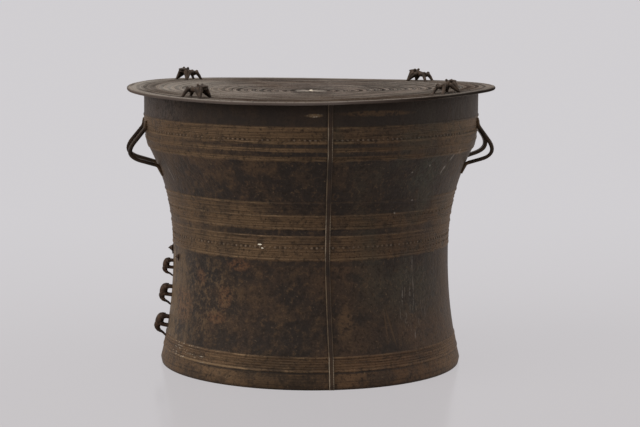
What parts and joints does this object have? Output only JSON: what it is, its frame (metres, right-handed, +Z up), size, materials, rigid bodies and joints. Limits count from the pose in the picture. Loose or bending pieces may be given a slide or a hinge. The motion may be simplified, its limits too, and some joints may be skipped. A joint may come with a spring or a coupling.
{
  "type": "bronze rain drum",
  "caption": "Cast bronze rain drum: flat ringed head with frogs on a waisted wall open at the bottom, strap handles, seam strips, and elephants walking down one side.",
  "frame": {"origin": "on the floor at the drum's axis, at the middle of the foot ring", "axes": "+Z up along the drum's axis, front seam at -Y, elephants on the -X side"},
  "size_m": [0.6338, 0.63, 0.4954],
  "materials": {
    "head_bronze": "worn grey-brown bronze",
    "wall_bronze": "dark patina with olive-gold bands",
    "seam_bronze": "worn olive-gold bronze",
    "strap_bronze": "near-black patina, worn at the edges",
    "figure_bronze": "dark brown patina, worn on the high points"
  },
  "bodies": {
    "root": {"head_plate": "head_bronze", "shell_left": "wall_bronze", "shell_right": "wall_bronze", "seam_strip_front": "seam_bronze", "seam_strip_rear": "seam_bronze", "handle_left_front": "strap_bronze", "handle_left_rear": "strap_bronze", "handle_right_front": "strap_bronze", "handle_right_rear": "strap_bronze", "frog_left_rear": "figure_bronze", "frog_left_front": "figure_bronze", "frog_right_front": "figure_bronze", "frog_right_rear": "figure_bronze", "elephant_upper": "figure_bronze", "elephant_middle": "figure_bronze", "elephant_lower": "figure_bronze", "snail_upper": "figure_bronze", "snail_side": "figure_bronze"}
  },
  "joints": []
}
